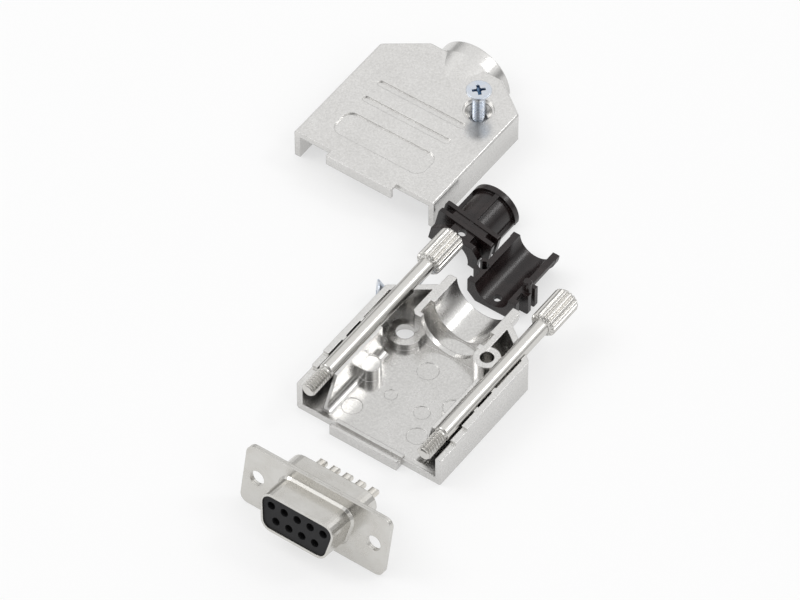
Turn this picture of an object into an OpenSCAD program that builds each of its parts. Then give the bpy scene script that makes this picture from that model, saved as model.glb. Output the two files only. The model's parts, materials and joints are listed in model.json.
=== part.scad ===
// D-sub hood kit: a die-cast hood in two shells, a cable clamp in two halves, two thumbscrews, two
// assembly screws and a nine-way solder-cup socket connector.
// Hood frame: x across, y from the front edge to the cable outlet, z up from the base's underside.
// The origin is the centre of the base's underside.

/* [Layout] */
// Whether the kit is laid out on a bench or closed up
layout = "bench"; // [bench, assembled]

/* [Shell size] */
// Distance between the flange's holes, and between the thumbscrews
hole_pitch = 24.99; // [24.5:0.01:26]

/* [Hood shells] */
// Distance from a thumbscrew's axis to the outside of the side wall
side_out = 3.1; // [2.9:0.05:4]
// Length of the straight side walls
side_l = 27; // [26.5:0.5:34]
// Width that each back corner's chamfer takes
chamfer_w = 7.6; // [7:0.1:8]
// Length that each back corner's chamfer takes
chamfer_l = 5.5; // [5:0.1:6.5]
// Height of the base, from its underside to the parting plane
base_h = 7.8; // [7.6:0.1:8.4]
// Height of the cover, from the parting plane to its top
cover_h = 6.5; // [6.4:0.1:7]
// Thickness of the side walls
wall_t = 1.2; // [0.9:0.05:1.25]
// Thickness of the base's floor and of the cover's top
floor_t = 1.25; // [1:0.05:1.3]
// Bevel on the shells' outer edges
edge_c = 0.35; // [0.1:0.05:0.6]
// Radius of the shells' upright corners
corner_r = 0.8; // [0.4:0.1:1.5]
// Radius of the cable outlet's bore
outlet_bore_r = 6.1; // [6:0.05:6.4]
// Length that the outlet stands out of the back face
outlet_l = 3.2; // [2.4:0.1:5]
// Length of the ramp that joins the cover's outlet to its top
ramp_l = 6; // [3.5:0.1:7]
// Length of the outlet's bore inside the back face
bore_l = 3.8; // [3.2:0.1:4.4]
// Distance from the front edge to the saddle rib
rib_y = 24.4; // [24:0.1:24.6]
// Thickness of the rails beside the thumbscrews
rail_t = 0.65; // [0.5:0.05:1]
// Radius of the rails' feet
foot_r = 1.4; // [0.8:0.1:1.6]
// Distance from the front edge to the pads beside the rails
pad_y = 13.1; // [12.5:0.1:14]
// Height of the pads
pad_h = 4; // [2.5:0.1:4.5]
// Thickness of the saddle rib
rib_t = 1; // [0.8:0.1:1.2]
// Thickness of the walls beside the saddle
cheek_t = 1.2; // [0.8:0.1:1.4]
// Width of the front tabs
tab_w = 14.5; // [10:0.5:16]
// Thickness of the tabs' lips
lip_t = 0.65; // [0.4:0.05:1]
// Height of the tabs' lips
lip_h = 2.3; // [1.5:0.1:2.5]
// Depth of the two grooves and the panel in the cover's top
panel_d = 0.3; // [0.15:0.05:0.5]
// Length of the panel from front to back
panel_l = 6; // [4:0.1:7]
// Width of each groove
groove_w = 1.4; // [1:0.1:2.4]
// Distance from the panel to the first groove, and from groove to groove
groove_step = 4.7; // [3:0.1:5]

/* [Thumbscrews] */
// Height of the thumbscrews above the closed hood's middle
jack_rise = 0.2; // [0:0.05:0.3]
// Diameter of the thumbscrews' shafts
shaft_d = 3.1; // [2.9:0.05:3.2]
// Outer diameter of their threads
thread_d = 2.84; // [2.5:0.01:2.85]
// Pitch of their threads
thread_pitch = 0.635; // [0.5:0.005:0.8]
// Length of their threads
thread_l = 5; // [3:0.1:6]
// Diameter of their heads
knob_d = 5.1; // [4.6:0.1:5.4]
// Length of their heads
knob_l = 8.1; // [6:0.1:10]
// Number of flutes round each head
flute_n = 16; // [12:1:18]
// Diameter of a flute
flute_d = 0.7; // [0.5:0.05:0.8]
// Distance from the hood's back face to the heads
knob_gap = 3; // [2.8:0.1:6]
// Length of the threads that stands out in front of the hood
tip_out = 1; // [0.2:0.1:3]

/* [Assembly screws] */
// Outer diameter of the assembly screws
screw_d = 2.5; // [2.2:0.05:2.5]
// Pitch of their threads
screw_pitch = 0.45; // [0.4:0.01:0.5]
// Overall length of the screws
screw_l = 12; // [11.6:0.1:12.3]
// Diameter of their heads
screw_head_d = 4.8; // [4.4:0.1:5]
// Distance of the screws from the hood's centre plane
screw_x = 8.9; // [8.8:0.05:9]
// Distance of the screws from the front edge
screw_y = 23.6; // [23.2:0.1:24]

/* [Cable clamp] */
// Width of the clamp's body
clamp_w = 10.6; // [10:0.1:11]
// Length of the clamp
clamp_l = 14.2; // [12:0.1:14.4]
// Radius of the clamp's end flange, and depth of its plates
clamp_r = 5; // [4.8:0.05:5.05]
// Diameter of the cable passage
cable_d = 7.2; // [6:0.1:7.4]
// Width of the two plates that straddle the saddle rib
plate_w = 12; // [11.6:0.1:12.2]
// Thickness of each plate
plate_t = 0.9; // [0.7:0.05:1]
// Distance from the clamp's front to its plates
nose_block_l = 2.9; // [2.7:0.1:3.4]
// Thickness of its front wall
front_t = 1.1; // [0.8:0.1:1.2]
// Diameter of the locating pegs
peg_d = 1.8; // [1.4:0.1:1.9]
// Height of the locating pegs
peg_h = 2.1; // [1.6:0.1:2.4]

/* [Connector] */
// Distance from a flange hole's centre to the flange's end
flange_end = 2.91; // [2.6:0.01:3]
// Height of the flange
flange_h = 12.55; // [12.2:0.01:12.6]
// Corner radius of the flange
flange_r = 1.6; // [1:0.1:2.6]
// Thickness of each shell's sheet
sheet_t = 0.5; // [0.4:0.02:0.52]
// Diameter of the flange's holes
hole_d = 3.05; // [2.9:0.01:3.2]
// Distance from the outermost contact to the side of the socket's shell
socket_side = 2.625; // [2.5:0.005:2.7]
// Height of the socket's shell
socket_h = 7.9; // [7.6:0.01:8.2]
// Length of the socket's shell in front of the flange
socket_l = 5.9; // [4.8:0.1:6.4]
// Distance that the rear shell is wider than the socket's, on each side
rear_out = 1.475; // [1.4:0.005:1.5]
// Height of the rear shell
rear_h = 10.72; // [10.2:0.01:10.75]
// Length of the rear shell behind the flange
rear_l = 4.2; // [3.6:0.1:4.4]
// Distance between neighbouring contacts
contact_pitch = 2.77; // [2.7:0.01:2.8]
// Distance between the two rows of contacts
row_pitch = 2.84; // [2.7:0.01:2.9]
// Diameter of the contacts' barrels
contact_d = 1.5; // [1.3:0.05:1.6]
// Length of the solder cups
cup_l = 4.6; // [3:0.1:5]

/* [Clearances] */
// Radial gap between a thumbscrew and the notches that it runs in
run_gap = 0.05; // [0.02:0.01:0.1]
// Gap round a piece that slides or drops into its place
fit_gap = 0.1; // [0.05:0.01:0.12]
// Radial gap of an assembly screw in a plain hole
screw_gap = 0.15; // [0.1:0.05:0.3]

/* [Bench] */
// Gap between the left thumbscrew's head and the upper clamp half behind it
bench_gap = 1; // [0.5:0.1:3]
// Distance of the upper clamp half to the left of the left thumbscrew
upper_shift = 1.1; // [0:0.1:3]
// Gap between the clamp halves
lower_side = 1; // [0.8:0.1:3]
// Distance that the lower clamp half stands behind the base
lower_back = 2.9; // [1:0.1:8]
// Distance that the cover stands behind the thumbscrews' heads
cover_back = 5.1; // [2.5:0.1:8]
// Gap between the upper clamp half and the cover
cover_side = 0.8; // [0.5:0.1:8]
// Distance of the connector's middle to the right of the hood's
socket_x = 4; // [-6:0.1:6]
// Distance that the connector stands in front of the hood
socket_front = 21.9; // [16:0.1:30]

/* [Hidden] */
$fn = 48;

nickel = [0.80, 0.79, 0.77];
bright_nickel = [0.84, 0.82, 0.79];
zinc = [0.72, 0.77, 0.84];
black_nylon = [0.10, 0.09, 0.09];
tin = [0.76, 0.75, 0.71];

big = 60;
skin = 0.01;
hood_w = hole_pitch + 2 * side_out;
flange_w = hole_pitch + 2 * flange_end;
socket_w = 4 * contact_pitch + 2 * socket_side;
rear_w = socket_w + 2 * rear_out;
hood_l = side_l + chamfer_l;
hood_h = base_h + cover_h;
outlet_end = hood_l + outlet_l;
bore_y = hood_l - bore_l;
jack_x = hole_pitch / 2;
jack_z = hood_h / 2 + jack_rise;
shaft_r = shaft_d / 2;
notch_r = shaft_r + run_gap;
flange_t = 2 * sheet_t;

// Walls beside the thumbscrews
rail_x1 = jack_x - notch_r - 2 * skin;
rail_x0 = rail_x1 - rail_t;
rail_y0 = 1.3;
rail_y1 = screw_y - 5;
rail_slant = 3.6;
pad_r = 2.05;
pad_x = rail_x0 - 1.2;
web_t = 1.2;
webs = [12, screw_y - 5 - web_t];

// Panel in the cover's top
panel_w = hood_w - 11.1;
panel_x = 0.45;
panel_y = side_l - 20.05;

// Saddle and outlet
cheek_x1 = outlet_bore_r + cheek_t + 0.8;
cheek_x0 = cheek_x1 - cheek_t;
barrel_r = base_h;
slot_l = rib_t + 2 * fit_gap;
slot_y0 = nose_block_l + plate_t;
clamp_y = rib_y - fit_gap - slot_y0;
tube_r = cable_d / 2 + 0.9;
peg_x = (cable_d + peg_d) / 2 + 0.25;
peg_y = slot_y0 + slot_l / 2;

// Screw seats
screw_r = screw_d / 2;
screw_head_r = screw_head_d / 2;
head_rim = 0.3;
head_h = head_rim + screw_head_r - screw_r;
screw_tilt = atan((screw_head_r - screw_r) / (screw_l - head_rim - 0.25));
seat_r = screw_head_r + fit_gap;
seat_depth = 0.4;
sink_depth = 0.4;
boss_r = screw_r + screw_gap + 1.1;
base_boss_r = seat_r + 0.75;
base_boss_h = base_h - clamp_r - fit_gap;
sink_r = seat_r + 0.45;
hole_r = screw_r + screw_gap + 0.3;

// Thumbscrew heads and the bench places behind them
knob_y = hood_l + knob_gap;
knob_end = knob_y + knob_l;
upper_x = -jack_x - upper_shift;
upper_y = knob_end + bench_gap;
upper_tilt = atan((peg_h + 0.05) / (plate_w / 2 + peg_x - peg_d / 2 + 0.25));
upper_z = plate_w / 2 * sin(upper_tilt) - 0.05 * cos(upper_tilt);
lower_x = upper_x + plate_w + lower_side;
lower_y = outlet_end + lower_back;
cover_x = upper_x - plate_w / 2 - cover_side - hood_w / 2;
cover_y = knob_end + cover_back;

// Connector
d_slope = 10;
socket_r = 2.2;
rear_r = 2.6;
insulator_split = -sheet_t;
rear_face = rear_l + 0.3;
contact_r = contact_d / 2;
cup_r = contact_r + 0.15;
lean = atan((flange_h - rear_h) / 2 / rear_l);

function unit(v) = v / norm(v);

// Arc of n steps that rounds the corner p, between its neighbours p0 and p1, to the radius r
function corner_arc(p0, p, p1, r, n = 4) =
    let (
        a = unit(p0 - p), b = unit(p1 - p), half = acos(a * b) / 2,
        c = p + unit(a + b) * r / sin(half),
        s = p + a * r / tan(half) - c, e = p + b * r / tan(half) - c,
        from = atan2(s[1], s[0]), turn = (atan2(e[1], e[0]) - from + 540) % 360 - 180
    )
    [for (i = [0 : n]) c + r * [cos(from + turn * i / n), sin(from + turn * i / n)]];

// Plan of the hood, drawn in by t on the sides and the back; its front edge lies at y = front
function hood_plan(t, front = 0) =
    let (
        n = unit([chamfer_l, chamfer_w]),
        x1 = hood_w / 2 - t, y1 = side_l + t * (n[0] - 1) / n[1],
        y2 = hood_l - t, x2 = (n * [hood_w / 2, side_l] - t - n[1] * y2) / n[0],
        p = [[x1, front], [x1, y1], [x2, y2], [-x2, y2], [-x1, y1], [-x1, front]],
        r = max(corner_r - t, 0.15)
    )
    concat([p[0]], corner_arc(p[0], p[1], p[2], r), corner_arc(p[1], p[2], p[3], r),
           corner_arc(p[2], p[3], p[4], r), corner_arc(p[3], p[4], p[5], r), [p[5]]);

// D outline, w wide across its top, h high, with corners of radius r and sides that slope inwards
function d_outline(w, h, r, n = 6) =
    let (
        d = cos(d_slope) * w / 2 - sin(d_slope) * h / 2 - r,
        zt = h / 2 - r, xt = (d + sin(d_slope) * zt) / cos(d_slope),
        xb = (d - sin(d_slope) * zt) / cos(d_slope),
        arc = function (x, z, from, to) [for (i = [0 : n])
            [x + r * cos(from + (to - from) * i / n), z + r * sin(from + (to - from) * i / n)]]
    )
    concat(arc(xt, zt, -d_slope, 90), arc(-xt, zt, 90, 180 + d_slope),
           arc(-xb, -zt, 180 + d_slope, 270), arc(xb, -zt, 270, 360 - d_slope));

// Profile of a thread along its axis: crests of radius r from a to b, one for each pitch
function thread_profile(r, pitch, a, b) =
    let (n = floor((b - a) / pitch), step = (b - a) / n, root = r - 0.54 * pitch)
    [for (i = [0 : n - 1], k = [0 : 2])
        [k == 1 ? root : r, a + (i + (k == 0 ? 0.1 : k == 1 ? 0.5 : 0.9)) * step]];

module along_y(y0, y1) translate([0, y1, 0]) rotate([90, 0, 0]) linear_extrude(y1 - y0) children();
module rod_y(r, y0, y1) along_y(y0, y1) circle(r);
module block(x0, x1, y0, y1, z0, z1) translate([x0, y0, z0]) cube([x1 - x0, y1 - y0, z1 - z0]);
module both_sides() {
    children();
    mirror([1, 0, 0]) children();
}
module rounded_rect(w, h, r) {
    square([w - 2 * r, h], center = true);
    square([w, h - 2 * r], center = true);
    for (sx = [-1, 1], sy = [-1, 1]) translate([sx * (w / 2 - r), sy * (h / 2 - r)]) circle(r);
}
module bevelled_rect(w, h, c) polygon([
    for (s = [1, -1]) each [[s * (w / 2 - c), s * h / 2], [s * (c - w / 2), s * h / 2],
                            [-s * w / 2, s * (h / 2 - c)], [-s * w / 2, s * (c - h / 2)]]]);
module slot_plan(w, h) {
    square([w - h, h], center = true);
    for (s = [-1, 1]) translate([s * (w - h) / 2, 0]) circle(h / 2);
}

// ---- Places: on the bench, or in the closed hood ----
module in_hood() translate([0, -hood_l / 2, 0]) children();
module cover_place()
    in_hood() translate(layout == "bench" ? [cover_x, cover_y, -base_h] : [0, 0, 0]) children();
module clamp_place(x, y, z)
    in_hood() translate(layout == "bench" ? [x, y, z] : [0, clamp_y, base_h]) children();
module connector_place()
    in_hood() if (layout == "bench")
        translate([socket_x, -socket_front, 0]) rotate([-lean, 0, 0]) translate([0, 0, flange_h / 2]) children();
    else
        translate([0, -fit_gap / 2, jack_z]) children();

// ---- Hood shells ----

// Outer form of a shell, with its closed face at z = 0 and its open rim at z = h
module shell_block(h) hull() {
    translate([0, 0, edge_c]) linear_extrude(h - edge_c) polygon(hood_plan(0));
    linear_extrude(h) polygon(hood_plan(edge_c));
}

// Cable outlet: a half barrel behind the back face, which rises out of the shell's face along a ramp
module outlet_barrel(h) translate([0, 0, h]) intersection() {
    union() {
        rod_y(barrel_r, hood_l - skin, outlet_end - edge_c);
        translate([0, outlet_end - edge_c, 0]) rotate([-90, 0, 0]) cylinder(edge_c, barrel_r, barrel_r - edge_c);
        intersection() {
            translate([0, hood_l, 0]) rotate([90, 0, 0]) cylinder(ramp_l, barrel_r, outlet_bore_r + 0.3);
            block(-big, big, 0, big, -big, floor_t - h);
        }
    }
    block(-big, big, -big, big, -big, 0);
}

// Wall on each side of the saddle, the saddle rib, and the solid round the bore
module saddle(h) intersection() {
    union() {
        both_sides() block(cheek_x0, cheek_x1, rib_y, hood_l, 0, h);
        block(-cheek_x1, cheek_x1, rib_y, rib_y + rib_t, 0, h);
        block(-cheek_x1, cheek_x1, bore_y, hood_l, 0, h);
    }
    linear_extrude(h) polygon(hood_plan(wall_t / 2));
}

// Rail beside each thumbscrew, on a rounded foot, with its front end slanted back, a round pad that
// an ejector pin pushes, and the webs that carry the shaft
module rails(h) both_sides() {
    difference() {
        union() {
            block(rail_x0, rail_x1, rail_y0, rail_y1, 0, h - fit_gap);
            block(rail_x0 - foot_r, rail_x0 + skin, rail_y0, rail_y1, 0, floor_t + foot_r);
        }
        translate([rail_x0 - foot_r, 0, floor_t + foot_r]) rod_y(foot_r, -1, big);
        rotate([90, 0, 90]) linear_extrude(big) polygon([
            [rail_y0 - 1, floor_t], [rail_y0, floor_t], [rail_y0 + rail_slant, h], [rail_y0 - 1, h]]);
    }
    difference() {
        union() {
            translate([pad_x, pad_y, 0]) cylinder(pad_h, r = pad_r);
            block(pad_x, rail_x0 + skin, pad_y - pad_r, pad_y + pad_r, 0, pad_h);
        }
        translate([pad_x, pad_y, pad_h - 0.12]) cylinder(1, r = pad_r - 0.2);
    }
    for (y = webs) block(rail_x1 - skin, hood_w / 2 - wall_t / 2, y, y + web_t, 0, h);
}

// Tab that holds the middle of the connector's flange; slot_z is the depth that the flange reaches
module tab(slot_z) difference() {
    block(-tab_w / 2, tab_w / 2, -flange_t - fit_gap - lip_t, skin, 0, lip_h);
    block(-tab_w, tab_w, -flange_t - fit_gap, 1, slot_z, big);
}

// Countersink for an assembly screw's head, with its mouth at z = 0
module screw_seat() {
    translate([0, 0, -skin]) cylinder(head_rim + skin, r = seat_r);
    translate([0, 0, head_rim - skin]) cylinder(seat_r - screw_r, seat_r, screw_r);
}

// Shell with its hollow, seen with the closed face down; jack is the height of the thumbscrews' axis
module open_shell(h, jack) difference() {
    union() {
        difference() {
            shell_block(h);
            translate([0, 0, floor_t]) linear_extrude(big) polygon(hood_plan(wall_t, -1));
        }
        saddle(h);
        rails(h);
        tab(jack - flange_h / 2 - fit_gap);
        children();
    }
    translate([0, 0, h]) rod_y(outlet_bore_r, rib_y - 1, outlet_end + 1);
    both_sides() translate([jack_x, 0, jack]) {
        rod_y(notch_r, -1, hood_l + 1);
        block(-notch_r, notch_r, -1, hood_l + 1, 0, big);
    }
}

module base_shell() color(nickel) in_hood() difference() {
    union() {
        open_shell(base_h, jack_z) {
            translate([screw_x, screw_y, 0]) cylinder(base_h - fit_gap, r = boss_r);
            translate([-screw_x, screw_y, 0]) cylinder(base_boss_h, r = base_boss_r);
            // ridge behind the tab, and a thin lip along the front edge
            block(-tab_w / 2, tab_w / 2, 0, 0.8, 0, floor_t + 0.58);
            block(-hood_w / 2 + wall_t / 2, hood_w / 2 - wall_t / 2, 0, 0.4, 0, floor_t + 0.25);
        }
        difference() {
            outlet_barrel(base_h);
            translate([0, 0, base_h]) rod_y(outlet_bore_r, 0, big);
        }
    }
    // tapped hole, from the boss's top
    translate([screw_x, screw_y, hood_h - seat_depth - screw_l - 0.2])
        cylinder(base_h, r = screw_r + run_gap);
    // plain hole, countersunk from below
    translate([-screw_x, screw_y, -1]) cylinder(big, r = hole_r);
    translate([-screw_x, screw_y, -1]) cylinder(1 + sink_depth, r = sink_r);
    translate([-screw_x, screw_y, sink_depth]) screw_seat();
    // relief in the rim beside each thumbscrew's thread
    both_sides() block(hood_w / 2 - wall_t - 1, hood_w, -1, 8, base_h - 0.6, big);
    both_sides() block(hood_w / 2 - wall_t - 1, hood_w, -1, 4.6, base_h - 1.3, big);
    // round marks that the ejector pins leave
    for (m = [[3.8, 10.9, 1.5], [-3.1, 11.1, 1.2], [6.2, 6, 1.9], [-0.9, 19.4, 2], [-7.2, 5, 1.9]])
        translate([m[0], m[1], floor_t - 0.12]) cylinder(1, r = m[2]);
}

// The cover is drawn with its top down and turned over into the hood's frame
module cover_shell() color(nickel) cover_place() translate([0, 0, hood_h]) mirror([0, 0, 1]) difference() {
    union() {
        open_shell(cover_h, hood_h - jack_z) {
            both_sides() translate([screw_x, screw_y, 0]) cylinder(cover_h - fit_gap, r = boss_r);
        }
        difference() {
            outlet_barrel(cover_h);
            translate([0, 0, cover_h]) rod_y(outlet_bore_r, 0, big);
        }
    }
    // plain hole, sunk from the top for the screw's head
    translate([screw_x, screw_y, -1]) cylinder(cover_h + 2, r = screw_r + screw_gap);
    translate([screw_x, screw_y, -1]) cylinder(1 + seat_depth, r = sink_r);
    translate([screw_x, screw_y, seat_depth]) screw_seat();
    // tapped blind hole
    translate([-screw_x, screw_y, floor_t - 0.4]) cylinder(cover_h, r = screw_r + run_gap);
    // panel and two grooves in the top
    translate([-panel_x, panel_y, -1]) linear_extrude(1 + panel_d) rounded_rect(panel_w, panel_l, 2);
    for (i = [0, 1]) translate([-panel_x, panel_y + panel_l / 2 + groove_step * (i + 1) - groove_w / 2, -1])
        linear_extrude(1 + panel_d) slot_plan(panel_w - 0.7, groove_w);
}

// ---- Cable clamp: two like halves; a half is drawn open side up, with its parting face at z = 0 ----
module clamp_body() {
    intersection() {
        along_y(0, slot_y0 + slot_l + plate_t) bevelled_rect(clamp_w, 2 * (clamp_r - 0.2), 1.7);
        union() {
            rod_y(big, 0, front_t);
            rod_y(tube_r, front_t - skin, nose_block_l + skin);
            block(-2.2, 2.2, front_t - skin, nose_block_l + skin, -tube_r - 0.15, 0);
            rod_y(big, nose_block_l, slot_y0);
            rod_y(outlet_bore_r - fit_gap, slot_y0 - skin, slot_y0 + slot_l + skin);
            rod_y(big, slot_y0 + slot_l, big);
        }
    }
    for (y = [nose_block_l, slot_y0 + slot_l]) along_y(y, y + plate_t) rounded_rect(plate_w, 2 * clamp_r, 0.5);
    rod_y(cable_d / 2 + 0.7, slot_y0, clamp_l);
    rod_y(clamp_r, clamp_l - 1.2, clamp_l);
    both_sides() block(cable_d / 2 + 0.3, clamp_r - 0.1, slot_y0 + slot_l, clamp_l - 0.3, -0.95, 0);
    block(-0.45, 0.45, slot_y0, clamp_l - 0.3, -clamp_r + 0.1, 0);
}

module clamp_half() {
    difference() {
        union() {
            intersection() {
                clamp_body();
                block(-big, big, -1, big, -big, -0.05);
            }
            translate([peg_x, peg_y, -1.5]) cylinder(1.5 + peg_h - 0.3, d = peg_d);
            translate([peg_x, peg_y, peg_h - 0.3]) cylinder(0.3, peg_d / 2, peg_d / 2 - 0.25);
        }
        rod_y(cable_d / 2, -1, clamp_l + 1);
        translate([-peg_x, peg_y, -peg_h - 0.3]) cylinder(peg_h + 1, d = peg_d + 2 * run_gap);
        translate([0, (front_t + nose_block_l) / 2, -big / 2]) cylinder(big, d = 1.6);
    }
}

module clamp_lower() color(black_nylon) clamp_place(lower_x, lower_y, clamp_r) clamp_half();

// On the bench the upper half lies face down, on its peg's tip and the plates' far edge
module clamp_upper() color(black_nylon) clamp_place(upper_x, upper_y, upper_z)
    rotate([0, layout == "bench" ? upper_tilt : 0, 0]) rotate([0, 180, 0]) clamp_half();

// ---- Thumbscrews ----
module thumbscrew(side) color(bright_nickel) in_hood() translate([side * jack_x, 0, jack_z]) difference() {
    rotate([-90, 0, 0]) rotate_extrude() polygon(concat(
        [[0, -tip_out], [thread_d / 2 - 0.35, -tip_out]],
        thread_profile(thread_d / 2, thread_pitch, -tip_out + 0.2, thread_l - tip_out),
        [[thread_d / 2 - 0.3, thread_l - tip_out + 0.1], [thread_d / 2 - 0.3, thread_l - tip_out + 0.5],
         [shaft_r - 0.2, thread_l - tip_out + 0.5], [shaft_r, thread_l - tip_out + 0.8],
         [shaft_r, knob_y], [knob_d / 2 - 0.3, knob_y], [knob_d / 2, knob_y + 0.4],
         [knob_d / 2, knob_end - 0.5], [knob_d / 2 - 0.5, knob_end], [0, knob_end]]));
    for (i = [0 : flute_n - 1]) rotate([0, i * 360 / flute_n, 0])
        translate([0, 0, knob_d / 2 + 0.05]) rod_y(flute_d / 2, knob_y - 1, knob_end + 1, $fn = 16);
}
module thumbscrew_left() thumbscrew(-1);
module thumbscrew_right() thumbscrew(1);

// ---- Assembly screws: countersunk, cross recess, tip at z = 0 and head up ----
module assembly_screw() difference() {
    rotate_extrude() polygon(concat(
        [[0, 0], [screw_r - 0.35, 0]],
        thread_profile(screw_r, screw_pitch, 0.2, screw_l - head_h - 0.6),
        [[screw_r - 0.12, screw_l - head_h - 0.5], [screw_r - 0.12, screw_l - head_h - 0.1],
         [screw_head_r, screw_l - head_rim], [screw_head_r, screw_l - 0.12],
         [screw_head_r - 0.12, screw_l], [0, screw_l]]));
    for (a = [45, 135]) rotate(a) translate([0, 0, screw_l - 1])
        linear_extrude(2) square([2.5, 0.55], center = true);
    translate([0, 0, screw_l - 1.15]) cylinder(2, 0.45, 0.8);
}

module cover_screw() color(zinc) in_hood()
    translate(layout == "bench" ? [cover_x + screw_x, cover_y + screw_y, 0]
              : [screw_x, screw_y, hood_h - seat_depth - screw_l]) assembly_screw();

// On the bench the second screw lies behind the base's left chamfer, on its head's rim and its tip
module base_screw() color(zinc) in_hood()
    if (layout == "bench")
        translate([(chamfer_w - hood_w) / 2, side_l + chamfer_l / 2, screw_head_r * cos(screw_tilt)])
            rotate(atan2(chamfer_l, chamfer_w))
                translate([-screw_l / 2, screw_head_r + 0.5, 0]) rotate([0, screw_tilt - 90, 0])
                    translate([0, 0, head_rim - screw_l]) assembly_screw();
    else
        translate([-screw_x, screw_y, sink_depth + screw_l]) mirror([0, 0, 1]) assembly_screw();

// ---- Connector: y = 0 is the back of its flange, z = 0 its middle ----
module flange_plate(y0) difference() {
    along_y(y0, y0 + sheet_t) rounded_rect(flange_w, flange_h, flange_r);
    both_sides() translate([hole_pitch / 2, 0, 0]) rod_y(hole_d / 2, -big, big);
}

module connector_front_shell() color(bright_nickel) connector_place() difference() {
    union() {
        flange_plate(-flange_t);
        along_y(-flange_t - socket_l, -sheet_t) polygon(d_outline(socket_w, socket_h, socket_r));
        hull() {
            along_y(-flange_t - 0.05, -flange_t) polygon(d_outline(socket_w + 0.9, socket_h + 0.8, socket_r + 0.4));
            along_y(-flange_t - 0.2, -flange_t) polygon(d_outline(socket_w + 0.4, socket_h + 0.4, socket_r + 0.2));
            along_y(-flange_t - 0.5, -flange_t) polygon(d_outline(socket_w, socket_h, socket_r));
        }
    }
    along_y(-flange_t - socket_l - 1, 1)
        polygon(d_outline(socket_w - 2 * sheet_t, socket_h - 2 * sheet_t, socket_r - sheet_t));
}

module connector_rear_shell() color(nickel) connector_place() difference() {
    union() {
        flange_plate(-sheet_t);
        along_y(-sheet_t, rear_l) polygon(d_outline(rear_w, rear_h, rear_r));
    }
    along_y(-big, big) polygon(d_outline(rear_w - 2 * sheet_t, rear_h - 2 * sheet_t, rear_r - sheet_t));
}

function contact_xz(i) = i < 5
    ? [(i - 2) * contact_pitch, row_pitch / 2]
    : [(i - 6.5) * contact_pitch, -row_pitch / 2];

module contact_holes(r) for (i = [0 : 8]) translate([contact_xz(i)[0], 0, contact_xz(i)[1]])
    rod_y(r, -big, big, $fn = 24);

module front_insulator() color(black_nylon) connector_place() difference() {
    along_y(-flange_t - socket_l + 0.3, insulator_split) polygon(
        d_outline(socket_w - 2 * sheet_t - fit_gap, socket_h - 2 * sheet_t - fit_gap, socket_r - sheet_t));
    contact_holes(contact_r + run_gap);
}

module rear_insulator() color(black_nylon) connector_place() difference() {
    along_y(insulator_split, rear_face) polygon(
        d_outline(rear_w - 2 * sheet_t - fit_gap, rear_h - 2 * sheet_t - fit_gap, rear_r - sheet_t));
    contact_holes(contact_r + run_gap);
}

// Socket contact: a drilled barrel in front, and a solder cup with its top cut open behind
module contact(i) color(tin) connector_place() translate([contact_xz(i)[0], 0, contact_xz(i)[1]])
    difference() {
        union() {
            rod_y(contact_r, -flange_t - socket_l + 1.9, rear_face + fit_gap, $fn = 24);
            rod_y(cup_r, rear_face + fit_gap, rear_face + fit_gap + cup_l, $fn = 24);
        }
        rod_y(contact_r - 0.25, -big, -flange_t - 1, $fn = 24);
        rod_y(cup_r - 0.22, rear_face + 1, big, $fn = 24);
        translate([0, rear_face + cup_l + 0.5, cup_r]) rotate([-35, 0, 0]) block(-1, 1, -2.4, 2, -0.5, 2);
    }

base_shell();
cover_shell();
clamp_lower();
clamp_upper();
thumbscrew_left();
thumbscrew_right();
cover_screw();
base_screw();
connector_front_shell();
connector_rear_shell();
front_insulator();
rear_insulator();
contact(0);  // contact_1
contact(1);  // contact_2
contact(2);  // contact_3
contact(3);  // contact_4
contact(4);  // contact_5
contact(5);  // contact_6
contact(6);  // contact_7
contact(7);  // contact_8
contact(8);  // contact_9
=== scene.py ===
import json
import math
import time

import bpy
import numpy as np
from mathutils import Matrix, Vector


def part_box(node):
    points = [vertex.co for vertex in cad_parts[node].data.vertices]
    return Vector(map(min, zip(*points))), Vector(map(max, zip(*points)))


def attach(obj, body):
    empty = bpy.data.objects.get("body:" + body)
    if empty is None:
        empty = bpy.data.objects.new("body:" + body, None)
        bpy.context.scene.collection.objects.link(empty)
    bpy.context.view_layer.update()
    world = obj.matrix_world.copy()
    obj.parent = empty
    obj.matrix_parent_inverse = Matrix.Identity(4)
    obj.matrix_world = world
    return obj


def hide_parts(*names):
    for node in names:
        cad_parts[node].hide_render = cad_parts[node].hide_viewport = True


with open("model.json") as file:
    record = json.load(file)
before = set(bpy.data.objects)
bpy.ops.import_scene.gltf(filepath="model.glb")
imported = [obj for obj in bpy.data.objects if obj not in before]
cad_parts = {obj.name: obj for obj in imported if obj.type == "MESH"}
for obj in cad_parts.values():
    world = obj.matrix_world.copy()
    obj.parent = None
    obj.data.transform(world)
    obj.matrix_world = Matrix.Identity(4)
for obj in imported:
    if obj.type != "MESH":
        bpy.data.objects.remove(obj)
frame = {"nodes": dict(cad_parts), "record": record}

startTime = time.perf_counter()
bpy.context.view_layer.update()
mm = 0.001
turn = 2 * math.pi


def stage(text):
    # Prints how far the script has come.
    print(f"{time.perf_counter() - startTime:6.1f} s  {text}", flush=True)


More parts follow.
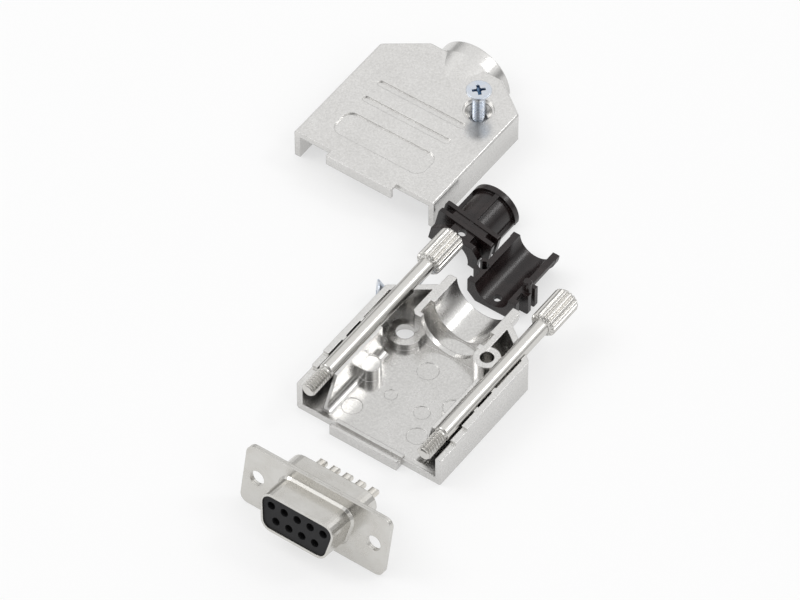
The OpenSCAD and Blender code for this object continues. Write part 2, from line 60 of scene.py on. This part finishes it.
class Field:
    # A shader socket with plain arithmetic: each operator adds one math node.
    def __init__(self, tree, out):
        self.tree, self.out = tree, out

    def feed(self, socket, value):
        # Links a field to a socket, or sets the socket to a plain value.
        if isinstance(value, Field):
            self.tree.links.new(value.out, socket)
        else:
            socket.default_value = value

    def node(self, kind, inputs=None, pick=0, **props):
        # Any other node: its properties by name, its inputs by name or number, and the output picked.
        made = self.tree.nodes.new(kind)
        for key, value in props.items():
            setattr(made, key, value)
        for key, value in (inputs or {}).items():
            self.feed(made.inputs[key], value)
        return Field(self.tree, made.outputs[pick])

    def math(self, operation, *values):
        # One math node on the values.
        return self.node("ShaderNodeMath", dict(enumerate(values)), operation=operation)

    def __add__(self, other):
        return self.math("ADD", self, other)

    def __radd__(self, other):
        return self.math("ADD", other, self)

    def __sub__(self, other):
        return self.math("SUBTRACT", self, other)

    def __rsub__(self, other):
        return self.math("SUBTRACT", other, self)

    def __mul__(self, other):
        return self.math("MULTIPLY", self, other)

    def __rmul__(self, other):
        return self.math("MULTIPLY", other, self)

    def span(self, low, high, to=(0.0, 1.0)):
        # Linear map of low..high onto the target range, held at its ends.
        values = {"Value": self, "From Min": low, "From Max": high, "To Min": to[0], "To Max": to[1]}
        return self.node("ShaderNodeMapRange", values)

    def axis(self, name):
        # One coordinate of a vector.
        return self.node("ShaderNodeSeparateXYZ", {0: self}, pick="XYZ".index(name))

    def stretched(self, factors):
        # A vector times the factors: a factor under 1 draws a pattern out along that axis.
        return self.node("ShaderNodeVectorMath", {0: self, 1: factors}, operation="MULTIPLY")

    def noise(self, scale, detail=3.0, rough=0.5, distort=0.0):
        # Fractal noise between 0 and 1, with scale features per metre.
        values = {"Vector": self, "Scale": scale, "Detail": detail, "Roughness": rough, "Distortion": distort}
        return self.node("ShaderNodeTexNoise", values)

    def blend(self, first, second):
        # Colour from first to second as this value runs from 0 to 1.
        return self.node("ShaderNodeMix", {0: self, 6: first, 7: second}, pick=2, data_type="RGBA")

    def attribute(self, name):
        # A value that the mesh carries on its vertices.
        return self.node("ShaderNodeAttribute", attribute_name=name, pick=2)


def grey(value, tint=(1.0, 1.0, 1.0)):
    # Colour of the given level times a tint.
    return (value * tint[0], value * tint[1], value * tint[2], 1.0)


def newMaterial(name, metallic, ior=1.5, gloss=0.5):
    # A plain principled material; returns it, its object coordinates and its principled node.
    made = bpy.data.materials.new(name)
    made.use_nodes = True
    tree = made.node_tree
    shader = tree.nodes["Principled BSDF"]
    shader.inputs["Metallic"].default_value = metallic
    shader.inputs["IOR"].default_value = ior
    shader.inputs["Specular IOR Level"].default_value = gloss
    place = Field(tree, tree.nodes.new("ShaderNodeTexCoord").outputs["Object"])
    return made, place, shader


def coat(place, shader, colour, rough, height, depth, edge=0.0):
    # Colour, roughness, and a bump of the height field, depth metres deep, over corners rounded to radius edge.
    bump = {"Strength": 1.0, "Distance": depth, "Height": height}
    if edge:
        bump["Normal"] = place.node("ShaderNodeBevel", {"Radius": edge}, samples=6)
    place.feed(shader.inputs["Base Color"], colour)
    place.feed(shader.inputs["Roughness"], rough)
    place.feed(shader.inputs["Normal"], place.node("ShaderNodeBump", bump))


# In the settings of a finish, a noise is (features per metre, detail, roughness of the fractal).
# The darker level, and the heights below which it holds, are painted shade that darkens every part low down, for the
# deep inside.
castSettings = {
    "colour": 0.72, "shadeLevel": 0.9, "tint": (1.0, 0.991, 0.972), "shade": (1.0, 0.985, 0.96), "spread": (0.82, 1.09),
    "rough": (0.17, 0.29), "satin": 0.07, "depth": 0.015 * mm, "edge": 0.2 * mm, "pits": 900.0,
    "peel": (2600, 4, 0.6), "swell": (420, 2, 0.5), "grain": (9000, 2, 0.5),
    "dull": (160, 3, 0.55), "fleck": (2700, 5, 0.85),
    "inside": (1.5 * mm, 6.5 * mm), "top": (6.5 * mm, 7.7 * mm),
}


def castNickel():
    # Tumbled and plated zinc casting: fine peel over slow swells with a few pits, a mottle of dull
    # patches and flecks, a more satin top, and painted shade that darkens it low down, in the deep inside.
    s = castSettings
    made, place, shader = newMaterial("castNickel", 1.0)
    peel, swell, grain = (place.noise(*s[key]) for key in ("peel", "swell", "grain"))
    pits = place.node("ShaderNodeTexVoronoi", {"Vector": place, "Scale": s["pits"]}, feature="F1").span(0.05, 0.12)
    dull = place.noise(*s["dull"]).span(0.35, 0.68)
    fleck = place.noise(*s["fleck"]).span(0.36, 0.64)
    mottle = dull * 0.2 + fleck * 0.8
    dark, light = s["spread"]
    # Each colour comes as a plain copy and as a copy darkened by painted shade, which is used low down.
    outside, inside = (mottle.blend(grey(level * dark, s["shade"]), grey(level * light, s["tint"]))
                       for level in (s["colour"], s["colour"] * s["shadeLevel"]))
    colour = place.axis("Z").span(*s["inside"]).blend(inside, outside)
    rough = dull.span(0.0, 1.0, s["rough"]) + peel * 0.06 - 0.02 + place.axis("Z").span(*s["top"]) * s["satin"]
    height = peel * 0.5 + swell * 0.9 + grain * 0.12 + pits * 0.15
    coat(place, shader, colour, rough, height, s["depth"], s["edge"])
    return made


# The second colour is painted shade for the thread roots and flute hollows.
turnedSettings = {
    "colour": grey(0.65, (1.0, 0.98, 0.94)), "rootShade": grey(0.33, (1.0, 0.95, 0.88)), "rough": (0.13, 0.27),
    "dirtRough": 0.2, "depth": 0.0022 * mm, "ring": 0.11 * mm, "wander": (900, 2), "haze": (700, 3, 0.6),
}


def turnedNickel():
    # Bright plated brass: tool rings along the axis as a sine that wanders, over a haze; the roots and flute hollows
    # get painted shade, a darker warm colour, and a rougher finish.
    s = turnedSettings
    made, place, shader = newMaterial("turnedNickel", 1.0)
    rings = place.math("SINE", place.axis("Y") * (turn / s["ring"]) + place.noise(*s["wander"]) * 2.5)
    haze = place.noise(*s["haze"])
    root = place.attribute("root")
    rough = haze.span(0.3, 0.7, s["rough"]) + root * s["dirtRough"]
    coat(place, shader, root.blend(s["colour"], s["rootShade"]), rough, rings * 0.5 + haze, s["depth"])
    return made


# The recess colour is painted shade for the screw's cross recess and thread roots.
zincSettings = {
    "colour": grey(0.66, (0.90, 0.985, 1.12)), "cloudy": grey(0.6996, (0.98, 1.0, 1.03)),
    "recess": (0.07, 0.15, 0.27, 1.0), "rough": (0.22, 0.36), "depth": 0.003 * mm,
    "cloud": (650, 3, 0.6), "grain": (7000, 2, 0.5),
}


def zincPlate():
    # Blue-white passivated zinc: faint clouds and a frosted grain, with painted shade, a dark blue, in the cross
    # recess and thread roots.
    s = zincSettings
    made, place, shader = newMaterial("zincPlate", 1.0)
    cloud, grain = place.noise(*s["cloud"]), place.noise(*s["grain"])
    colour = place.attribute("root").blend(cloud.span(0.35, 0.7).blend(s["colour"], s["cloudy"]), s["recess"])
    coat(place, shader, colour, cloud.span(0.3, 0.7, s["rough"]), grain + cloud, s["depth"])
    return made


nylonSettings = {
    "colour": (0.0075, 0.004, 0.0042, 1.0), "worn": (0.022, 0.0142, 0.0135, 1.0), "ior": 1.53, "gloss": 0.42,
    "rough": (0.18, 0.28), "flowRough": 0.06, "depth": 0.009 * mm, "edge": 0.14 * mm,
    "spark": (5200, 3, 0.6), "flow": (260, 3, 0.6, 1.2),
}


def blackNylon():
    # Moulded nylon: fine spark texture over swirling flow clouds, lighter where it is rubbed.
    s = nylonSettings
    made, place, shader = newMaterial("blackNylon", 0.0, s["ior"], s["gloss"])
    spark, flow = place.noise(*s["spark"]), place.noise(*s["flow"])
    rub = (flow * 0.7 + spark * 0.3).span(0.42, 0.66)
    rough = spark.span(0.3, 0.7, s["rough"]) + flow * s["flowRough"]
    coat(place, shader, rub.blend(s["colour"], s["worn"]), rough, spark + flow * 1.5, s["depth"], s["edge"])
    return made


pressedSettings = {
    "colour": grey(0.65, (1.0, 0.985, 0.945)), "milky": grey(0.6045, (1.0, 0.975, 0.92)), "rough": (0.17, 0.28),
    "grainRough": 0.05, "depth": 0.0035 * mm, "edge": 0.12 * mm, "stretch": (0.12, 1.0, 1.0),
    "rolled": (5200, 3, 0.6), "milk": (330, 4, 0.6), "grain": (4200, 3, 0.6),
}


def pressedShell():
    # Tin-plated pressed sheet: rolling lines drawn out across the flange, a milky haze and a fine grain.
    s = pressedSettings
    made, place, shader = newMaterial("pressedShell", 1.0)
    rolled = place.stretched(s["stretch"]).noise(*s["rolled"])
    milk, grain = place.noise(*s["milk"]), place.noise(*s["grain"])
    colour = milk.span(0.35, 0.7).blend(s["colour"], s["milky"])
    rough = milk.span(0.32, 0.7, s["rough"]) + grain * s["grainRough"]
    coat(place, shader, colour, rough, rolled * 0.4 + grain * 0.2 + milk, s["depth"], s["edge"])
    return made


insulatorSettings = {
    "colour": (0.009, 0.009, 0.010, 1.0), "speckle": (0.018, 0.018, 0.0195, 1.0), "ior": 1.5, "gloss": 0.3,
    "rough": (0.42, 0.6), "depth": 0.004 * mm, "edge": 0.08 * mm, "fibre": (8200, 3, 0.7), "cloud": (500, 2),
}


def insulatorBlack():
    # Glass-filled moulding: grey-black with a fine speckle of fibres, gathered in clouds.
    s = insulatorSettings
    made, place, shader = newMaterial("insulatorBlack", 0.0, s["ior"], s["gloss"])
    fibre, cloud = place.noise(*s["fibre"]), place.noise(*s["cloud"])
    colour = (fibre * 0.7 + cloud * 0.3).span(0.4, 0.7).blend(s["colour"], s["speckle"])
    coat(place, shader, colour, fibre.span(0.3, 0.7, s["rough"]), fibre, s["depth"], s["edge"])
    return made


contactSettings = {
    "bright": grey(0.78, (1.0, 0.98, 0.93)), "stained": grey(0.68, (1.0, 0.95, 0.86)), "rough": (0.24, 0.42),
    "depth": 0.004 * mm, "edge": 0.06 * mm, "stretch": (1.0, 0.15, 1.0),
    "drawn": (6200, 3, 0.6), "cloud": (900, 3, 0.6),
}


def tinnedContact():
    # Tinned brass: matt, stained in clouds, with bright streaks drawn out along the tube.
    s = contactSettings
    made, place, shader = newMaterial("tinnedContact", 1.0)
    drawn, cloud = place.stretched(s["stretch"]).noise(*s["drawn"]), place.noise(*s["cloud"])
    colour = cloud.span(0.35, 0.7).blend(s["bright"], s["stained"])
    coat(place, shader, colour, drawn.span(0.3, 0.7, s["rough"]), drawn, s["depth"], s["edge"])
    return made


materialOf = {
    "hood_nickel": castNickel(), "screw_nickel": turnedNickel(), "screw_zinc": zincPlate(),
    "clamp_nylon": blackNylon(), "connector_shell": pressedShell(), "insulator": insulatorBlack(),
    "contact_tin": tinnedContact(),
}
for part in frame["record"]["subparts"]:
    mesh = frame["nodes"][part["node"]].data
    mesh.materials.clear()
    mesh.materials.append(materialOf[part["material_slot"]])
stage("materials")


def lathe(name, axial, radius, place, root):
    # Closed surface of rows of rings: at each row and angle, radius times (cosine, sine) across the
    # axis at that axial position, with a pole at each end. place takes these points, in millimetres as
    # (across, axial, up), to where the piece is, and root is kept on the vertices for the finish: its roughness and
    # its painted shade in roots and recesses.
    rows, count = radius.shape
    angle = np.arange(count) * (turn / count)
    ring = np.stack([radius * np.cos(angle), axial, radius * np.sin(angle)], axis=-1).reshape(-1, 3)
    poles = np.array([[0.0, axial[0].mean(), 0.0], [0.0, axial[-1].mean(), 0.0]])
    points = place(np.concatenate([ring, poles]))
    here = np.arange(count)
    there = (here + 1) % count
    base = (np.arange(rows - 1) * count)[:, None]
    quads = np.stack([base + here, base + there, base + count + there, base + count + here], axis=-1).reshape(-1, 4)
    first, last, top = rows * count, rows * count + 1, (rows - 1) * count
    fans = np.concatenate([
        np.stack([there, here, np.full(count, first)], axis=-1),
        np.stack([top + here, top + there, np.full(count, last)], axis=-1)])
    mesh = bpy.data.meshes.new(name)
    mesh.from_pydata(points * mm, [], quads.tolist() + fans.tolist())
    mesh.polygons.foreach_set("use_smooth", np.ones(len(mesh.polygons), dtype=bool))
    layer = mesh.attributes.new("root", "FLOAT", "POINT")
    layer.data.foreach_set("value", np.concatenate([root.reshape(-1), root[0, :1], root[-1, :1]]).astype(np.float32))
    mesh.update()
    made = bpy.data.objects.new(name, mesh)
    bpy.context.scene.collection.objects.link(made)
    return made


def step(low, high, value):
    # Smooth step, 3 t squared less 2 t cubed, from 0 at low to 1 at high.
    t = np.clip((value - low) / (high - low), 0.0, 1.0)
    return t * t * (3.0 - 2.0 * t)


def rowsAlong(stretches):
    # Axial rows: each stretch (start, end, count) gives evenly spaced rows.
    return np.unique(np.round(np.concatenate([np.linspace(*stretch) for stretch in stretches]), 5))


def threadCut(axial, angle, pitch, depth, start, end):
    # Depth of a helical V: the phase is the axial position over the pitch less the angle over a turn,
    # with flat crests and rounded roots, fading in at start and out at end.
    phase = np.mod(axial / pitch - angle / turn, 1.0)
    vee = np.clip(1.25 - 2.5 * np.abs(phase - 0.5), 0.0, 1.0)
    vee = np.sin(vee * math.pi / 2) * 0.5 + vee * 0.5
    fade = step(start, start + 0.35, axial) * (1.0 - step(end - 0.35, end, axial))
    return vee * depth * fade


def threadedProfile(s, rows, knots, start, end):
    # By row and angle: the radius through the knots (axial, radius), the axial position and the thread's cut.
    angle = np.arange(s["angles"]) * (turn / s["angles"])
    axial = np.repeat(rows[:, None], s["angles"], axis=1)
    radius = np.repeat(np.interp(rows, *np.transpose(knots))[:, None], s["angles"], axis=1)
    return angle, axial, radius, threadCut(axial, angle, s["pitch"], s["depth"], start, end)


stage("helpers")
cad = {name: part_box(name) for name in frame["nodes"]}


def cadCorners(node):
    # The low and high corners of a CAD piece's box, in millimetres.
    return [np.array(corner) / mm for corner in cad[node]]


thumbSettings = {
    "clear": 0.002, "thread": 5.0, "outer": 1.42, "pitch": 0.635, "depth": 0.34, "neck": 1.16, "neckEnd": 5.5,
    "shaft": 1.55, "headLength": 8.1, "knob": 2.545, "flutes": 16, "flute": 0.36, "angles": 160, "capRings": 8,
}


def thumbscrew(node, side, body):
    # Profile of threaded tip, neck, shaft and knob, less the helix at the tip, and less flutes on the
    # knob whose depth is the 0.6th power of a cosine's hollow half.
    s = thumbSettings
    low, high = cadCorners(node)
    front, back = low[1] + s["clear"], high[1] - s["clear"]
    centre = (low + high) / 2
    length = back - front
    head = length - s["headLength"]
    thread, outer, neck = (s[key] for key in ("thread", "outer", "neck"))
    neckEnd, shaft, knob = (s[key] for key in ("neckEnd", "shaft", "knob"))
    rows = rowsAlong([(0, 0.35, 8), (0.35, thread, 110), (thread, 6.0, 16), (6.0, head - 0.05, 40),
                      (head - 0.05, head + 0.8, 22), (head + 0.8, length - 0.9, 30), (length - 0.9, length, 20)])
    knots = [(0, outer - 0.45), (0.3, outer), (thread, outer), (thread + 0.08, neck), (neckEnd, neck),
             (neckEnd + 0.05, 1.38), (neckEnd + 0.3, shaft), (head - 0.01, shaft), (head + 0.01, knob - 0.34),
             (head + 0.3, knob - 0.06), (head + 0.42, knob), (length - 0.62, knob), (length - 0.48, knob - 0.05),
             (length, knob - 0.52)]
    angle, axial, radius, cut = threadedProfile(s, rows, knots, 0.1, thread + 0.1)
    hollow = np.maximum(0.0, -np.cos(angle * s["flutes"])) ** 0.6
    flute = hollow * s["flute"] * step(head + 0.02, head + 0.05, axial)
    radius = np.maximum(radius - cut - flute, 0.3)
    # root grows with the depth of the thread and the flute hollows; the finish paints shade there.
    root = np.clip(cut / s["depth"], 0, 1) ** 2 * 0.75 + (flute / s["flute"]) ** 2 * 0.35
    inner = np.linspace(1.0, 0.0, s["capRings"])[1:-1, None]
    frontCap, backCap = radius[:1] * inner[::-1], radius[-1:] * inner
    axial = np.concatenate([np.zeros_like(frontCap), axial, np.full_like(backCap, length)])
    root = np.concatenate([np.zeros_like(frontCap), root, np.zeros_like(backCap)])
    radius = np.concatenate([frontCap, radius, backCap])

    def place(points):
        return points + np.array([centre[0], front, centre[2]])

    made = lathe(f"thumbscrew{side}", axial, radius, place, root)
    made.data.materials.append(materialOf["screw_nickel"])
    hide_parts(node)
    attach(made, body)


thumbscrew("thumbscrew_left", "Left", "thumbscrew_left")
thumbscrew("thumbscrew_right", "Right", "thumbscrew_right")
stage("thumbscrews")

screwSettings = {
    "length": 12.0, "outer": 1.245, "pitch": 0.45, "depth": 0.24, "neckCut": 0.12, "head": 2.395, "rim": 0.3,
    "arm": 0.29, "reach": 1.28, "taper": 0.35, "dish": (0.35, 0.62), "recess": 1.05,
    "angles": 144, "faceRings": 46, "capRings": 6,
}


def assemblyScrew(node, name, axis, tip, body="kit"):
    # Profile of threaded shank, neck and countersunk head, less the helix; the head's face sinks in a
    # cross, which is two bars with smooth sides that grow shallower outwards, round a central dish.
    s = screwSettings
    length, outer, head = (s[key] for key in ("length", "outer", "head"))
    neck = outer - s["neckCut"]
    rim = length - s["rim"]
    cone = rim - (head - outer)
    rows = rowsAlong([(0, 0.3, 6), (0.3, cone - 0.5, 230), (cone - 0.5, cone, 8), (cone, rim, 14), (rim, length, 8)])
    knots = [(0, outer - 0.36), (0.22, outer), (cone - 0.55, outer), (cone - 0.5, neck),
             (cone - 0.1, neck), (rim, head), (length - 0.1, head), (length, head - 0.1)]
    angle, axial, radius, cut = threadedProfile(s, rows, knots, 0.05, cone - 0.55)
    radius = radius - cut
    # root grows with the depth of the thread; the finish paints shade there.
    root = np.clip(cut / s["depth"], 0, 1) ** 2 * 0.6
    face = np.linspace(radius[-1, 0], 0.0, s["faceRings"])[1:-1, None] * np.ones((1, s["angles"]))
    across, up = face * np.cos(angle + math.pi / 4), face * np.sin(angle + math.pi / 4)

    def bar(along, aside):
        return (1 - step(s["reach"] - 0.16, s["reach"], np.abs(along))) * (
            1 - step(s["arm"] - 0.07, s["arm"] + 0.03, np.abs(aside)))

    sunk = np.maximum(bar(across, up), bar(up, across)) * (1.0 - s["taper"] * np.clip(face / s["reach"], 0, 1))
    sunk = np.maximum(sunk, 1 - step(*s["dish"], face))
    frontCap = radius[:1] * np.linspace(1.0, 0.0, s["capRings"])[1:-1][::-1, None]
    axial = np.concatenate([np.zeros_like(frontCap), axial, length - sunk * s["recess"]])
    # On the head's face, root follows the sunk cross and dish, where the finish paints shade.
    root = np.concatenate([np.zeros_like(frontCap), root, sunk ** 0.5])
    radius = np.concatenate([frontCap, radius, face])
    direction = np.array(axis) / np.linalg.norm(axis)
    side = np.cross(direction, [0.0, 0.0, 1.0])
    side = np.array([1.0, 0.0, 0.0]) if np.linalg.norm(side) < 1e-6 else side / np.linalg.norm(side)
    other = np.cross(side, direction)

    def place(points):
        return np.array(tip) + points[:, :1] * side + points[:, 1:2] * direction + points[:, 2:] * other

    made = lathe(name, axial, radius, place, root)
    made.data.materials.append(materialOf["screw_zinc"])
    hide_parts(node)
    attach(made, body)


low, high = cadCorners("cover_screw")
assemblyScrew("cover_screw", "coverScrew", (0, 0, 1), ((low[0] + high[0]) / 2, (low[1] + high[1]) / 2, low[2]))

# The base's chamfer: its middle and the way along it; then how far off the screw lies, and the radii
# and the length between them on which it rests.
restSettings = {"middle": (-11.795, 13.5), "along": (7.6, 5.5), "off": 2.9, "head": 2.4, "neck": 1.25, "span": 11.45}


def restingScrew():
    # The spare screw's axis and tip: it leans on its head's rim and its tip, so its tilt is the angle
    # whose tangent is the difference of their radii over the length between them.
    s = restSettings
    tilt = math.atan((s["head"] - s["neck"]) / s["span"])
    along = np.array([*s["along"], 0.0]) / math.hypot(*s["along"])
    away = np.array([-along[1], along[0], 0.0])
    reach = screwSettings["length"] - screwSettings["rim"]
    tip = np.array([*s["middle"], s["head"] * math.cos(tilt) - reach * math.sin(tilt)])
    tip = tip + along * (reach * math.cos(tilt) - screwSettings["length"] / 2) + away * s["off"]
    axis = -along * math.cos(tilt) + np.array([0.0, 0.0, math.sin(tilt)])
    return axis, tip


assemblyScrew("base_screw", "baseScrew", *restingScrew())
stage("assembly screws")

cameraSettings = {
    "azimuth": 35.5, "elevation": 49.0, "distance": 1.2, "lens": 302.0, "film": 36.0, "clip": (0.05, 20.0),
    "target": (-0.0128, 0.01125, 0.005),
}
floorSettings = {"size": 8.0, "colour": 0.9, "worn": 0.995, "rough": 0.75, "gloss": 0.1, "white": 0.6}
skySettings = {
    "horizon": 0.86, "band": 0.40, "bandStart": (0.02, 0.14), "zenith": 1.0, "bandEnd": (0.28, 0.50),
    "right": 1.1, "rightward": (-0.15, 0.25), "towards": (0.381, -0.534, 0.755), "dark": 0.22, "opening": (0.86, 0.95),
}
# name, watts, metres across, place
lampList = (("keyLamp", 7.0, 1.0, (-1.3, -0.5, 1.5)), ("fillLamp", 3.0, 1.2, (1.5, -0.5, 1.2)),
            ("rimLamp", 3.4, 0.48, (0.95, 1.1, 1.45)))


def paleFloor():
    # A level pale floor; the camera, and metal that mirrors it, see it part lit and part plain white.
    s = floorSettings
    bpy.ops.mesh.primitive_plane_add(size=s["size"], location=(0, 0, 0))
    floor = bpy.context.object
    floor.name = "floor"
    made, place, shader = newMaterial("paleFloor", 0.0, 1.45, s["gloss"])
    worn = place.noise(40, 2)
    place.feed(shader.inputs["Base Color"], worn.blend(grey(s["colour"]), grey(s["colour"] * s["worn"])))
    shader.inputs["Roughness"].default_value = s["rough"]
    camera, glossy, through = (place.node("ShaderNodeLightPath", pick=name) for name in
                               ("Is Camera Ray", "Is Glossy Ray", "Is Transmission Ray"))
    share = place.math("MAXIMUM", camera, place.math("MAXIMUM", glossy, through)) * s["white"]
    white = place.node("ShaderNodeEmission", {"Color": grey(1.0), "Strength": 1.0})
    lit = Field(place.tree, shader.outputs["BSDF"])
    mixed = place.node("ShaderNodeMixShader", {0: share, 1: lit, 2: white})
    place.feed(made.node_tree.nodes["Material Output"].inputs["Surface"], mixed)
    floor.data.materials.append(made)


def studioSky():
    # Sky whose level runs from the horizon down to a duller band and up again to the zenith, times a
    # gain to the right, times a dark opening where the viewer stands.
    s = skySettings
    world = bpy.data.worlds.new("studio")
    bpy.context.scene.world = world
    world.use_nodes = True
    tree = world.node_tree
    sky = Field(tree, tree.nodes.new("ShaderNodeTexCoord").outputs["Generated"])
    up, right = sky.axis("Z"), sky.axis("X")
    level = s["horizon"] + up.span(*s["bandStart"], (0.0, s["band"] - s["horizon"]))
    level = level + up.span(*s["bandEnd"], (0.0, s["zenith"] - s["band"]))
    level = level * right.span(*s["rightward"], (1.0, s["right"]))
    facing = sky.node("ShaderNodeVectorMath", {0: sky, 1: s["towards"]}, pick="Value", operation="DOT_PRODUCT")
    level = level * facing.span(*s["opening"], (1.0, s["dark"]))
    sky.feed(tree.nodes["Background"].inputs["Strength"], level)
    tree.nodes["Background"].inputs["Color"].default_value = grey(1.0)


def aimed(name, data, where, way):
    # An object that stands at a place and looks along a direction, with its top upwards.
    holder = bpy.data.objects.new(name, data)
    holder.location = where
    holder.rotation_euler = way.to_track_quat("-Z", "Y").to_euler()
    bpy.context.scene.collection.objects.link(holder)
    return holder


def lampsAndCamera():
    # Round soft lamps aimed at the target, and a camera that stands back from it, along the direction
    # of the azimuth and the elevation, through a long lens.
    s = cameraSettings
    target = Vector(s["target"])
    for name, energy, size, where in lampList:
        lamp = bpy.data.lights.new(name, "AREA")
        lamp.shape, lamp.size, lamp.energy = "DISK", size, energy
        aimed(name, lamp, where, target - Vector(where))
    a, e = math.radians(s["azimuth"]), math.radians(s["elevation"])
    back = Vector((math.sin(a) * math.cos(e), -math.cos(a) * math.cos(e), math.sin(e)))
    data = bpy.data.cameras.new("camera")
    data.lens, data.sensor_width = s["lens"], s["film"]
    data.clip_start, data.clip_end = s["clip"]
    bpy.context.scene.camera = aimed("camera", data, target + back * s["distance"], -back)


paleFloor()
studioSky()
lampsAndCamera()
bpy.context.scene.view_settings.view_transform = "Standard"
stage("studio and camera")
